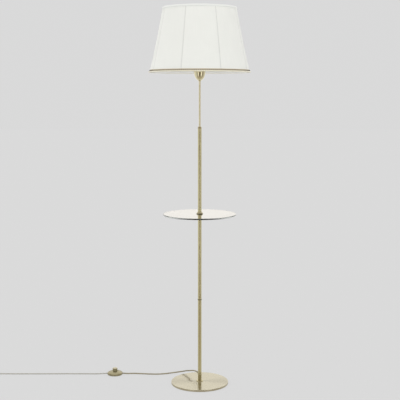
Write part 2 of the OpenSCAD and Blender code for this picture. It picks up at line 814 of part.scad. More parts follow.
button_r = button_d / 2;
hole_r = button_r + button_gap;
switch_r = switch_d / 2;
plate_z = 0.6;         // underside of the base plate and of the cover's rim
plate_t = 1.4;
plate_r = switch_r - 4;
plate_top_z = plate_z + plate_t;
core_top = 9.1;
boss_y = 21;
boss_r = 3.2;
pilot_r = 1.2;
flange_r = button_r + 1.8;
flange_t = 1.4;
post_r = 2.8;
button_wall = 1.6;
ceiling_z = button_top_h - 1.8;
dome_in_w = switch_r - dome_wall;
dome_in_h = dome_h - dome_wall;
// Height of the dome's inner face at a distance from its axis.
function dome_under(r) = wide_z + dome_in_h * sqrt(1 - pow(r / dome_in_w, 2));
flange_top_z = dome_under(flange_r) - button_gap;

module at_switch() {
    translate([switch_x, switch_y, 0]) children();
}

module cord_inlet(side, r, length) {
    translate([0, 0, switch_cord_z]) rotate([0, 90, side > 0 ? 0 : 180]) cylinder(r = r, h = length, $fn = 48);
}

module switch_cover() {
    steps = 12;
    top_out = acos(hole_r / switch_r);
    top_in = acos(hole_r / dome_in_w);
    low_r = switch_r - 2;
    color(brass)
        at_switch()
            difference() {
                union() {
                    rotate_extrude()
                        polygon(concat(
                            [[low_r - dome_wall, plate_z], [low_r, plate_z]],
                            oval_arc([0, wide_z], switch_r, dome_h, 0, top_out, steps),
                            oval_arc([0, wide_z], dome_in_w, dome_in_h, top_in, 0, steps)
                        ));
                    for (side = [-1, 1]) translate([0, side * boss_y, 0])
                        cylinder_from(boss_r, plate_top_z, dome_under(boss_y + boss_r) + dome_wall / 2);
                }
                for (side = [-1, 1]) translate([0, side * boss_y, 0])
                    cylinder_from(pilot_r, plate_top_z - cut, dome_under(boss_y + boss_r) - 1);
                cord_inlet(1, cord_r + rest, switch_r + cut);
                cord_inlet(-1, lead_r + rest, switch_r + cut);
            }
}

module switch_base() {
    color(insulator)
        at_switch()
            difference() {
                cylinder_from(plate_r, plate_z, plate_top_z);
                for (side = [-1, 1]) translate([0, side * boss_y, 0]) {
                    cylinder_from(pilot_r + rest, plate_z - cut, plate_top_z + cut);
                    cylinder_from(boss_r, plate_z - cut, plate_z + 0.9);
                }
            }
}

module switch_pad() {
    color(felt) at_switch() tube(plate_r - 3, boss_y - boss_r - 4, 0, plate_z);
}

module switch_screws() {
    color(steel)
        at_switch()
            for (side = [-1, 1]) translate([0, side * boss_y, 0]) {
                cylinder_from(boss_r - 0.4, plate_z + 0.1, plate_z + 0.9);
                cylinder_from(pilot_r - fit, plate_z + 0.6, dome_under(boss_y + boss_r) - 2);
            }
}

module switch_core() {
    color(insulator)
        at_switch()
            difference() {
                translate([-core_half, -9, plate_top_z]) cube([2 * core_half, 18, core_top - plate_top_z]);
                cylinder_from(post_r + rest, plate_top_z + 0.8, core_top + cut);
            }
}

module clamp_saddle(x, r) {
    half_y = 8;
    length = 5;
    translate([x, 0, 0])
        difference() {
            translate([-length / 2, -half_y, plate_top_z]) cube([length, 2 * half_y, 7]);
            translate([-length / 2 - cut, 0, switch_cord_z]) rotate([0, 90, 0])
                cylinder(r = r, h = length + 2 * cut, $fn = 48);
            translate([-length / 2 - cut, -r, plate_top_z - cut])
                cube([length + 2 * cut, 2 * r, switch_cord_z - plate_top_z + cut]);
        }
}

module switch_clamps() {
    color(insulator)
        at_switch() {
            clamp_saddle(19, cord_r + 0.15);
            clamp_saddle(-19, lead_r + 0.15);
        }
}

module switch_button() {
    top_round = 2;
    in_r = button_r - button_wall;
    color(pale_brass)
        at_switch()
            rotate_extrude()
                polygon(concat(
                    [[in_r, flange_top_z - flange_t], [flange_r, flange_top_z - flange_t], [flange_r, flange_top_z],
                        [button_r, flange_top_z]],
                    arc([button_r - top_round, button_top_h - top_round], top_round, 0, 90, 6),
                    [[0, button_top_h], [0, core_top - 1.5], [post_r, core_top - 1.5],
                        [post_r, ceiling_z], [in_r, ceiling_z]]
                ));
}

module switch_spring() {
    mean_r = post_r + 2.1;
    wire_r = 0.45;
    turns = 6;
    rings = 12;
    z0 = core_top + wire_r + 0.05;
    z1 = ceiling_z - wire_r - 0.05;
    line = [
        for (i = [0:turns * rings]) let (t = i / rings)
            [mean_r * cos(360 * t), mean_r * sin(360 * t), z0 + (z1 - z0) * t / turns]
    ];
    climb = (z1 - z0) / turns / 360 * 180 / PI;
    color(steel) at_switch() swept_tube(line, wire_r, 6, [0, mean_r, climb], [0, mean_r, climb]);
}

// ---------- plug ----------

module plug_body() {
    neck_w = 12;
    neck_t = 10;
    sleeve_r0 = lead_r + 1;
    sleeve_r1 = 4.4;
    shoulder = plug_l * 0.6;
    root_r = pin_d / 2 + 0.4;
    color(white_wire)
        translate([plug_x, switch_y, plug_z])
            difference() {
                union() {
                    intersection() {
                        translate([-plug_sleeve_l, 0, -plug_t]) linear_extrude(height = 2 * plug_t)
                            polygon(concat(
                                [[1, neck_w / 2], [1, -neck_w / 2]],
                                [[2 - shoulder, -plug_w / 2]],
                                arc([2 - plug_l, 2 - plug_w / 2], 2, 270, 180, 4),
                                arc([2 - plug_l, plug_w / 2 - 2], 2, 180, 90, 4),
                                [[2 - shoulder, plug_w / 2]]
                            ));
                        translate([-plug_sleeve_l, plug_w, 0]) rotate([90, 0, 0]) linear_extrude(height = 2 * plug_w)
                            polygon(concat(
                                [[1, neck_t / 2], [1, -neck_t / 2]],
                                [[2 - shoulder, -plug_t / 2]],
                                arc([1.5 - plug_l, 1.5 - plug_t / 2], 1.5, 270, 180, 4),
                                arc([1.5 - plug_l, plug_t / 2 - 1.5], 1.5, 180, 90, 4),
                                [[2 - shoulder, plug_t / 2]]
                            ));
                    }
                    rotate([0, -90, 0]) cylinder(r1 = sleeve_r0, r2 = sleeve_r1, h = plug_sleeve_l, $fn = 48);
                }
                translate([cut, 0, 0]) rotate([0, -90, 0]) cylinder(r = lead_r + slip, h = plug_bore_l + cut, $fn = 48);
                for (side = [-1, 1]) translate([-plug_sleeve_l - plug_l + 5, side * pin_pitch / 2, 0])
                    rotate([0, -90, 0]) cylinder(r = root_r + fit, h = 5 + cut, $fn = 48);
            }
}

module plug_pins() {
    tip = 1.2;
    color(steel)
        for (side = [-1, 1]) translate([plug_face_x, switch_y + side * pin_pitch / 2, plug_z])
            rotate([0, -90, 0])
                rotate_extrude($fn = 48)
                    polygon([[0, -5], [pin_d / 2 + 0.4, -5], [pin_d / 2 + 0.4, 0], [pin_d / 2, 0],
                        [pin_d / 2, pin_l - tip], [pin_d / 2 - tip * 0.7, pin_l], [0, pin_l]]);
}

// ---------- what is drawn ----------

base_cover();
base_weight();
base_pad();
base_washer();
base_screw();
foot_collar();
lower_tube();
middle_tube();
upper_tube();
tube_inserts();
joint_collar();
joint_nipple();
tube_cap();
stem();
pole_lead();
cord_bushing();
glass_top();
table_nipple();
lower_flange();
upper_flange();
lower_gasket();
upper_gasket();
socket_cup();
holder_core();
holder_contact();
holder_sleeve();
screw_shell();
shade_nut();
bulb_cap();
bulb_glass();
shade_top_ring();
shade_bottom_ring();
shade_ribs();
shade_spider();
shade_fabric();
shade_top_binding();
shade_braid();
shade_cord();
cord_to_switch();
cord_to_plug();
cord_coil();
cord_tie();
switch_cover();
switch_base();
switch_pad();
switch_button();
switch_spring();
switch_core();
switch_screws();
switch_clamps();
plug_body();
plug_pins();
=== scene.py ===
"""The finish of a brass floor lamp with a glass table: camera, cords, shade, trim, materials and studio.

Metres, +Z up, the floor at z = 0 and the pole on the Z axis. The photograph is taken from -Y. Sizes that
follow the part's own are in millimetres, and MM turns them into metres.
"""

import math

import bpy
import numpy as np
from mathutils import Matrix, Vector


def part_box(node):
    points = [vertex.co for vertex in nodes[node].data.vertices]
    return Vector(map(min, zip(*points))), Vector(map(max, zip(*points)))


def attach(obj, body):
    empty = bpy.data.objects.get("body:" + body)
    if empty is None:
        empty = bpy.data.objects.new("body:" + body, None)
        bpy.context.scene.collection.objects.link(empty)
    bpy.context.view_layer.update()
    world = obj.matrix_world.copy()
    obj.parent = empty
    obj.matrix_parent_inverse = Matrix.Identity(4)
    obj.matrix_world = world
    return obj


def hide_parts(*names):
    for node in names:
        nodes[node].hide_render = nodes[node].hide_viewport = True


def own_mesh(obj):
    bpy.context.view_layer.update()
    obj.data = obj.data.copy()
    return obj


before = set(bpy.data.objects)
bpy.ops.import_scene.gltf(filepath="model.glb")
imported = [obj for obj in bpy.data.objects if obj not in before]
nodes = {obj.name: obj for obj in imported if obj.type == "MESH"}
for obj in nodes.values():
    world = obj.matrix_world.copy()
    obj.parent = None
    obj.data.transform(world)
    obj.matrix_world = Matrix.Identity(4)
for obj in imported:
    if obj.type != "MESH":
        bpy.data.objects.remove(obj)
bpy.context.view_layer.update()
lamp = "lamp"
MM = 0.001


# ---------- camera ----------

PHOTO_PIXELS = 400
FOCAL_PIXELS = 884
SENSOR_WIDTH = 36
CAMERA_PLACE = (0.0013, -3.719, 1.2336)
CAMERA_DOWN = 6.67     # degrees below level
NEAREST, FURTHEST = 0.1, 100


def place_camera():
    """The photograph's viewpoint, in front of the lamp and a little above its middle."""
    data = bpy.data.cameras.new("camera")
    data.sensor_width = SENSOR_WIDTH
    data.lens = SENSOR_WIDTH * FOCAL_PIXELS / PHOTO_PIXELS
    data.clip_start, data.clip_end = NEAREST, FURTHEST
    camera = bpy.data.objects.new("camera", data)
    camera.location = CAMERA_PLACE
    camera.rotation_euler = (math.radians(90 - CAMERA_DOWN), 0, 0)
    bpy.context.scene.collection.objects.link(camera)
    bpy.context.scene.camera = camera


place_camera()


# ---------- making meshes ----------

def new_mesh(name, points, faces, material, uv=None, smooth=True):
    """A mesh object. uv holds one pair for each corner of each face, in the order of the faces."""
    mesh = bpy.data.meshes.new(name)
    mesh.from_pydata([tuple(map(float, p)) for p in points], [], [tuple(map(int, f)) for f in faces])
    mesh.polygons.foreach_set("use_smooth", [smooth] * len(mesh.polygons))
    if uv is not None:
        layer = mesh.uv_layers.new(name="UVMap")
        layer.data.foreach_set("uv", np.asarray(uv, np.float32).ravel())
    mesh.materials.append(material)
    mesh.update()
    piece = bpy.data.objects.new(name, mesh)
    bpy.context.scene.collection.objects.link(piece)
    return piece


def grid_faces(rows, columns, closed_rows=False, closed_columns=False):
    """Quads of a grid whose points are stored row by row."""
    i = np.arange(rows if closed_rows else rows - 1)
    k = np.arange(columns if closed_columns else columns - 1)
    a, b = np.meshgrid(i, k, indexing="ij")
    a2, b2 = (a + 1) % rows, (b + 1) % columns
    corners = [a * columns + b, a * columns + b2, a2 * columns + b2, a2 * columns + b]
    return np.stack(corners, -1).reshape(-1, 4)


def grid_uv(u, v):
    """Corner UVs for grid_faces: v for the rows and u for the columns, one more value than faces each."""
    a, b = np.meshgrid(np.arange(len(v) - 1), np.arange(len(u) - 1), indexing="ij")
    corners = [(u[b], v[a]), (u[b + 1], v[a]), (u[b + 1], v[a + 1]), (u[b], v[a + 1])]
    return np.stack([np.stack(c, -1) for c in corners], 2).reshape(-1, 2)


def around_pole(r, turn, z):
    """Points at the radius r, the angle turn and the height z round the pole's axis."""
    x = r * np.cos(turn)
    return np.stack([x, r * np.sin(turn), np.broadcast_to(z, x.shape)], -1)


def smooth_line(points, step):
    """A smooth line through points, whose first and last only set the direction at the ends."""
    p = [np.array(q, float) for q in points]
    line = []
    for i in range(1, len(p) - 2):
        n = max(1, math.ceil(np.linalg.norm(p[i + 1] - p[i]) / step))
        for t in np.arange(n) / n:
            line.append(0.5 * (2 * p[i] + (p[i + 1] - p[i - 1]) * t
                        + (2 * p[i - 1] - 5 * p[i] + 4 * p[i + 1] - p[i + 2]) * t ** 2
                        + (3 * p[i] - p[i - 1] - 3 * p[i + 1] + p[i + 2]) * t ** 3))
    return np.array(line + [p[-2]])


def tube(name, line, radius, sides, material, closed=False):
    """A round tube along a line, with flat ends. Its UV runs once round it, and along it in metres."""
    line = np.asarray(line, float)
    n = len(line)
    if closed:
        ahead = np.roll(line, -1, 0) - np.roll(line, 1, 0)
    else:
        ahead = np.gradient(line, axis=0)
    ahead /= np.linalg.norm(ahead, axis=1)[:, None]
    side = np.cross(ahead, [0, 0, 1.0])
    side /= np.linalg.norm(side, axis=1)[:, None]
    up = np.cross(side, ahead)
    turn = np.linspace(0, 2 * math.pi, sides, endpoint=False)
    circles = np.cos(turn)[:, None] * side[:, None] + np.sin(turn)[:, None] * up[:, None]
    rings = line[:, None] + radius * circles
    faces = [list(f)[::-1] for f in grid_faces(n, sides, closed_rows=closed, closed_columns=True)]
    length = np.concatenate([[0], np.cumsum(np.linalg.norm(np.diff(line, axis=0), axis=1))])
    if closed:
        length = np.append(length, length[-1] + np.linalg.norm(line[0] - line[-1]))
    uv = grid_uv(np.linspace(0, 1, sides + 1), length).reshape(-1, 4, 2)[:, ::-1].reshape(-1, 2)
    if not closed:
        faces += [list(range(sides)), [(n - 1) * sides + k for k in reversed(range(sides))]]
        uv = np.concatenate([uv, np.zeros((2 * sides, 2))])
    return new_mesh(name, rings.reshape(-1, 3), faces, material, uv)


# ---------- shader groups ----------

COLOUR, NUMBER, VECTOR = "NodeSocketColor", "NodeSocketFloat", "NodeSocketVector"
RING_SLANT = 1.4                 # how much more height counts than radius along a turned outline
SLUB_STRETCH = (900, 14, 1)      # slubs per metre across and along the warp
PATCH_LOW, PATCH_HIGH = 0.35, 0.7


def shader_group(name, inputs, outputs):
    """An empty node group. inputs are (name, kind, value), and outputs are (name, kind)."""
    group = bpy.data.node_groups.new(name, "ShaderNodeTree")
    for label, kind, value in inputs:
        group.interface.new_socket(label, in_out="INPUT", socket_type=kind).default_value = value
    for label, kind in outputs:
        group.interface.new_socket(label, in_out="OUTPUT", socket_type=kind)
    return group, group.nodes.new("NodeGroupInput").outputs, group.nodes.new("NodeGroupOutput").inputs


def feed(tree, socket, value):
    """Gives an input socket a link or a plain value."""
    if isinstance(value, bpy.types.NodeSocket):
        tree.links.new(value, socket)
    else:
        socket.default_value = value


def join(tree, node_type, links=None, **settings):
    """A node with its settings and inputs. An input's value may be a socket or a plain value."""
    node = tree.nodes.new(node_type)
    for key, value in settings.items():
        setattr(node, key, value)
    for key, value in (links or {}).items():
        feed(tree, node.inputs[key], value)
    return node


def math_node(tree, operation, a, b=0.0, clamp=False):
    node = join(tree, "ShaderNodeMath", {0: a, 1: b}, operation=operation, use_clamp=clamp)
    return node.outputs[0]


def map_range(tree, value, low, high, to_low=0.0, to_high=1.0, smooth=False):
    limits = {"Value": value, "From Min": low, "From Max": high, "To Min": to_low, "To Max": to_high}
    kind = "SMOOTHSTEP" if smooth else "LINEAR"
    return join(tree, "ShaderNodeMapRange", limits, interpolation_type=kind).outputs["Result"]


def mix_colour(tree, factor, a, b, blend="MIX"):
    inputs = {0: factor, 6: a, 7: b}     # a colour mix has its colours on the sockets 6 and 7
    return join(tree, "ShaderNodeMix", inputs, data_type="RGBA", blend_type=blend).outputs[2]


def stretched(tree, place, scale):
    node = join(tree, "ShaderNodeVectorMath", {0: place, 1: scale}, operation="MULTIPLY")
    return node.outputs[0]


def length_of(tree, vector):
    return join(tree, "ShaderNodeVectorMath", {0: vector}, operation="LENGTH").outputs["Value"]


def object_place(tree):
    return join(tree, "ShaderNodeTexCoord").outputs["Object"]


def uv_place(tree):
    return join(tree, "ShaderNodeUVMap").outputs["UV"]


def axes_of(tree, vector):
    return join(tree, "ShaderNodeSeparateXYZ", {0: vector}).outputs


def noise(tree, place, scale, detail, **more):
    inputs = {"Vector": place, "Scale": scale, "Detail": detail, **more}
    return join(tree, "ShaderNodeTexNoise", inputs).outputs["Fac"]


def varied(tree, value, cloud, spread, clamp=True):
    """A value that noise round 0.5 makes higher and lower by up to half of spread."""
    swing = math_node(tree, "MULTIPLY", math_node(tree, "SUBTRACT", cloud, 0.5), spread)
    return math_node(tree, "ADD", swing, value, clamp=clamp)


def make_brushing():
    """Fine parallel scratches: noise that is stretched by its own scale on each axis."""
    tree, given, out = shader_group(
        "fine brushing",
        [("Scale", VECTOR, (2000, 2000, 20)), ("Spread", NUMBER, 0.06), ("Roughness", NUMBER, 0.3)],
        [("Height", NUMBER), ("Roughness", NUMBER)])
    lines = noise(tree, stretched(tree, object_place(tree), given["Scale"]), scale=1.0, detail=3.0)
    tree.links.new(lines, out["Height"])
    tree.links.new(varied(tree, given["Roughness"], lines, given["Spread"]), out["Roughness"])
    return tree


def make_handling():
    """Cloudy changes of tone and gloss, as from handling, polishing and dust."""
    tree, given, out = shader_group(
        "handling",
        [("Color", COLOUR, (1, 1, 1, 1)), ("Tarnish", COLOUR, (0.5, 0.5, 0.5, 1)), ("Amount", NUMBER, 0.2),
         ("Scale", NUMBER, 12.0), ("Roughness", NUMBER, 0.3), ("Spread", NUMBER, 0.05)],
        [("Color", COLOUR), ("Roughness", NUMBER)])
    cloud = noise(tree, object_place(tree), given["Scale"], detail=4.0, Roughness=0.6)
    patches = map_range(tree, cloud, PATCH_LOW, PATCH_HIGH, smooth=True)
    mask = math_node(tree, "MULTIPLY", patches, given["Amount"])
    tree.links.new(mix_colour(tree, mask, given["Color"], given["Tarnish"]), out["Color"])
    tree.links.new(varied(tree, given["Roughness"], cloud, given["Spread"]), out["Roughness"])
    return tree


def make_turning():
    """Rings left by a lathe round the Z axis: noise that changes only along the outline that was turned."""
    tree, given, out = shader_group(
        "lathe turning",
        [("Rings per Metre", NUMBER, 2500.0), ("Roughness", NUMBER, 0.2), ("Spread", NUMBER, 0.08)],
        [("Height", NUMBER), ("Roughness", NUMBER)])
    place = object_place(tree)
    radius = length_of(tree, stretched(tree, place, (1, 1, 0)))
    height = math_node(tree, "MULTIPLY", axes_of(tree, place)["Z"], RING_SLANT)
    along = math_node(tree, "ADD", radius, height)
    rings = math_node(tree, "MULTIPLY", along, given["Rings per Metre"])
    fine = join(tree, "ShaderNodeTexNoise", {"W": rings, "Scale": 1.0, "Detail": 3.0},
                noise_dimensions="1D").outputs["Fac"]
    tree.links.new(fine, out["Height"])
    tree.links.new(varied(tree, given["Roughness"], fine, given["Spread"]), out["Roughness"])
    return tree


def make_cord_braid():
    """A braided textile sleeve, from a UV that runs once round the cord and along it in metres."""
    tree, given, out = shader_group(
        "cord braid",
        [("Yarn A", COLOUR, (0.6, 0.5, 0.4, 1)), ("Yarn B", COLOUR, (0.7, 0.6, 0.5, 1)),
         ("Yarns", NUMBER, 8.0), ("Per Metre", NUMBER, 450.0)],
        [("Color", COLOUR), ("Height", NUMBER)])
    split = axes_of(tree, uv_place(tree))
    round_it = math_node(tree, "MULTIPLY", split["X"], given["Yarns"])
    along = math_node(tree, "MULTIPLY", split["Y"], given["Per Metre"])
    waves = []
    for way in ("ADD", "SUBTRACT"):
        turn = math_node(tree, "MULTIPLY", math_node(tree, way, round_it, along), math.pi)
        waves.append(math_node(tree, "ABSOLUTE", math_node(tree, "SINE", turn)))
    over = math_node(tree, "GREATER_THAN", waves[0], waves[1])
    tree.links.new(math_node(tree, "MAXIMUM", waves[0], waves[1]), out["Height"])
    tree.links.new(mix_colour(tree, over, given["Yarn A"], given["Yarn B"]), out["Color"])
    return tree


def make_weave():
    """A plain weave in the UV's metres: threads that pass over and under each other, with slubs."""
    tree, given, out = shader_group(
        "plain weave",
        [("Threads per Metre", NUMBER, 1800.0), ("Slub", NUMBER, 0.3)],
        [("Height", NUMBER), ("Slub", NUMBER)])
    uv = uv_place(tree)
    scaled = join(tree, "ShaderNodeVectorMath", {0: uv, "Scale": given["Threads per Metre"]},
                  operation="SCALE").outputs[0]
    split = axes_of(tree, scaled)
    across, along = (math_node(tree, "SINE", math_node(tree, "MULTIPLY", split[axis], math.pi))
                     for axis in "XY")
    tree.links.new(map_range(tree, math_node(tree, "MULTIPLY", across, along), -1, 1), out["Height"])
    slub = noise(tree, stretched(tree, uv, SLUB_STRETCH), scale=1.0, detail=2.0)
    tree.links.new(varied(tree, 1.0, slub, given["Slub"], clamp=False), out["Slub"])
    return tree


brushing = make_brushing()
handling = make_handling()
turning = make_turning()
cord_braid = make_cord_braid()
weave = make_weave()


# ---------- materials ----------

GORE_U = 0.14                    # width of one gore of the shade in its UV
# The darker line painted along each seam is partly the seam itself and partly a painted shadow of the wire
# rib behind it.
SEAM_U = 0.0034                  # half width of a seam between gores
LENGTHWISE = (1500, 1500, 12)    # scratches per metre across and along a tube
CROSSWISE = 0.25                 # a quarter turn, which puts the highlights of rings across them
# Between these depths below the button's crown, the top's colour gives way to the barrel's darker one, a
# painted shade on the button's side.
BARREL_SHADE_LOW, BARREL_SHADE_HIGH = 0.0022, 0.0012    # how far below its crown the button's rounded edge lies
GLASS_EDGE = (0.61, 0.66, 0.52, 1)      # what the glass keeps of light that runs along it
GLASS_DENSITY = 0.8


def rgba(colour):
    return (*colour, 1)


def principled(name, colour, roughness, metallic=0.0, **sockets):
    """A material with its values on the shader's own sockets, whose names have _ for a space here."""
    material = bpy.data.materials.new(name)
    material.use_nodes = True
    tree = material.node_tree
    shader = tree.nodes["Principled BSDF"]
    shader.inputs["Base Color"].default_value = rgba(colour)
    shader.inputs["Roughness"].default_value = roughness
    shader.inputs["Metallic"].default_value = metallic
    for key, value in sockets.items():
        shader.inputs[key.replace("_", " ")].default_value = value
    return material, tree, shader


def use_group(tree, group, **values):
    """Places a group in a material with its own values. Keys are socket names, with _ for a space."""
    node = tree.nodes.new("ShaderNodeGroup")
    node.node_tree = group
    for key, value in values.items():
        feed(tree, node.inputs[key.replace("_", " ")], value)
    return node.outputs


def handled(tree, colour, tarnish, roughness, amount, scale, spread):
    """A colour and a roughness with marks from handling. The colour may be a socket."""
    if not isinstance(colour, bpy.types.NodeSocket):
        colour = rgba(colour)
    return use_group(tree, handling, Color=colour, Tarnish=rgba(tarnish), Amount=amount, Scale=scale,
                     Roughness=roughness, Spread=spread)


def link_surface(tree, shader, colour, roughness):
    tree.links.new(colour, shader.inputs["Base Color"])
    tree.links.new(roughness, shader.inputs["Roughness"])


def add_bump(tree, shader, height, depth):
    bump = join(tree, "ShaderNodeBump", {"Height": height, "Distance": depth, "Strength": 1.0})
    tree.links.new(bump.outputs["Normal"], shader.inputs["Normal"])


def drawn_metal(name, colour, tarnish, roughness, amount=0.10, depth=0.00001):
    """Tube and turned metal with fine lengthwise brushing and faint handling marks."""
    material, tree, shader = principled(name, colour, roughness, metallic=1.0)
    marks = handled(tree, colour, tarnish, roughness, amount, scale=9.0, spread=0.03)
    lines = use_group(tree, brushing, Scale=LENGTHWISE, Spread=0.06, Roughness=marks["Roughness"])
    link_surface(tree, shader, marks["Color"], lines["Roughness"])
    add_bump(tree, shader, lines["Height"], depth)
    return material


def spun_metal(name, colour, tarnish, roughness, rings=2500.0, depth=0.000004, anisotropy=0.0):
    """Metal that was turned or brushed in circles round the pole's axis."""
    material, tree, shader = principled(name, colour, roughness, metallic=1.0)
    marks = handled(tree, colour, tarnish, roughness, amount=0.12, scale=16.0, spread=0.04)
    circles = use_group(tree, turning, Rings_per_Metre=rings, Roughness=marks["Roughness"], Spread=0.08)
    link_surface(tree, shader, marks["Color"], circles["Roughness"])
    add_bump(tree, shader, circles["Height"], depth)
    if anisotropy:
        shader.inputs["Anisotropic"].default_value = anisotropy
        shader.inputs["Anisotropic Rotation"].default_value = CROSSWISE
        tangent = join(tree, "ShaderNodeTangent", direction_type="RADIAL", axis="Z")
        tree.links.new(tangent.outputs["Tangent"], shader.inputs["Tangent"])
    return material


def moulded(name, colour, dust, roughness, coat=0.0, grain=900.0, depth=0.00003, metallic=0.0):
    """Moulded plastic or enamel: a very fine grain, and faint dust."""
    material, tree, shader = principled(name, colour, roughness, metallic, Coat_Weight=coat)
    marks = handled(tree, colour, dust, roughness, amount=0.35, scale=40.0, spread=0.12)
    link_surface(tree, shader, marks["Color"], marks["Roughness"])
    add_bump(tree, shader, noise(tree, object_place(tree), grain, detail=2.0), depth)
    return material


def gilt_button_painted_barrel_shade(name, top, side, roughness):
    """Gilt metal with a lighter top and a barrel painted darker, a painted shade on its side; the two meet
    at the button's rounded edge.
    """
    material, tree, shader = principled(name, side, roughness, metallic=1.0)
    height = axes_of(tree, object_place(tree))["Z"]
    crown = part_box("switch_button")[1].z
    edge = map_range(tree, height, crown - BARREL_SHADE_LOW, crown - BARREL_SHADE_HIGH, smooth=True)
    tone = mix_colour(tree, edge, rgba(side), rgba(top))
    marks = handled(tree, tone, side, roughness, amount=0.2, scale=120.0, spread=0.06)
    link_surface(tree, shader, marks["Color"], marks["Roughness"])
    return material


def yarn(name, yarn_a, yarn_b, yarns, per_metre, sheen=0.25):
    """A braided or twisted textile on a tube's UV."""
    roughness = 0.75
    material, tree, shader = principled(name, yarn_a, roughness, Sheen_Weight=sheen, Sheen_Roughness=0.4)
    threads = use_group(tree, cord_braid, Yarn_A=rgba(yarn_a), Yarn_B=rgba(yarn_b), Yarns=yarns,
                        Per_Metre=per_metre)
    dull = [0.8 * c for c in yarn_a]
    marks = handled(tree, threads["Color"], dull, roughness, amount=0.3, scale=60.0, spread=0.1)
    link_surface(tree, shader, marks["Color"], marks["Roughness"])
    add_bump(tree, shader, threads["Height"], depth=0.00025)
    return material


def seam_and_rib_shadow_mask(tree):
    """1 on the seams between the shade's gores and 0 elsewhere, where the seam and a painted shadow of the
    wire rib behind it darken the cloth.
    """
    part = math_node(tree, "FRACT", math_node(tree, "DIVIDE", axes_of(tree, uv_place(tree))["X"], GORE_U))
    near = math_node(tree, "MINIMUM", part, math_node(tree, "SUBTRACT", 1.0, part))
    return map_range(tree, near, 0.0, SEAM_U / GORE_U, 1.0, 0.0, smooth=True)


def shade_textile(name, colour, threads, roughness=0.85, sheen=0.15, depth=0.00006, seam=None, glow=None,
                  share=0.0):
    """Woven cloth on a UV in metres, with slubby warp threads. A share of the light on its back comes
    through in the colour glow. Where seam is given, the gores' seams are painted that darker tone, partly
    the seam's own line and partly a painted shadow of the wire rib behind it."""
    material, tree, shader = principled(name, colour, roughness, Sheen_Weight=sheen, Sheen_Roughness=0.5)
    cloth = use_group(tree, weave, Threads_per_Metre=threads, Slub=0.10)
    tone = mix_colour(tree, 1.0, rgba(colour), cloth["Slub"], "MULTIPLY")
    dull = [0.97 * c for c in colour]
    marks = handled(tree, tone, dull, roughness, amount=0.5, scale=14.0, spread=0.05)
    face = marks["Color"]
    if seam:
        face = mix_colour(tree, seam_and_rib_shadow_mask(tree), face, rgba(seam))
    link_surface(tree, shader, face, marks["Roughness"])
    add_bump(tree, shader, cloth["Height"], depth)
    if share:
        through = join(tree, "ShaderNodeBsdfTranslucent", {"Color": rgba(glow)})
        both = join(tree, "ShaderNodeMixShader", {0: share, 1: shader.outputs[0], 2: through.outputs[0]})
        tree.links.new(both.outputs[0], tree.nodes["Material Output"].inputs["Surface"])
    return material


def clear_glass():
    """Clear glass with faint marks, whose volume gives its edge a little colour."""
    clear = (0.97, 0.99, 0.98)
    material, tree, shader = principled("clear table glass", clear, 0.0, Transmission_Weight=1.0, IOR=1.5)
    tint = join(tree, "ShaderNodeVolumeAbsorption", {"Color": GLASS_EDGE, "Density": GLASS_DENSITY})
    tree.links.new(tint.outputs[0], tree.nodes["Material Output"].inputs["Volume"])
    smeared = (0.94, 0.96, 0.95)
    marks = handled(tree, clear, smeared, roughness=0.01, amount=0.4, scale=8.0, spread=0.02)
    link_surface(tree, shader, marks["Color"], marks["Roughness"])
    return material


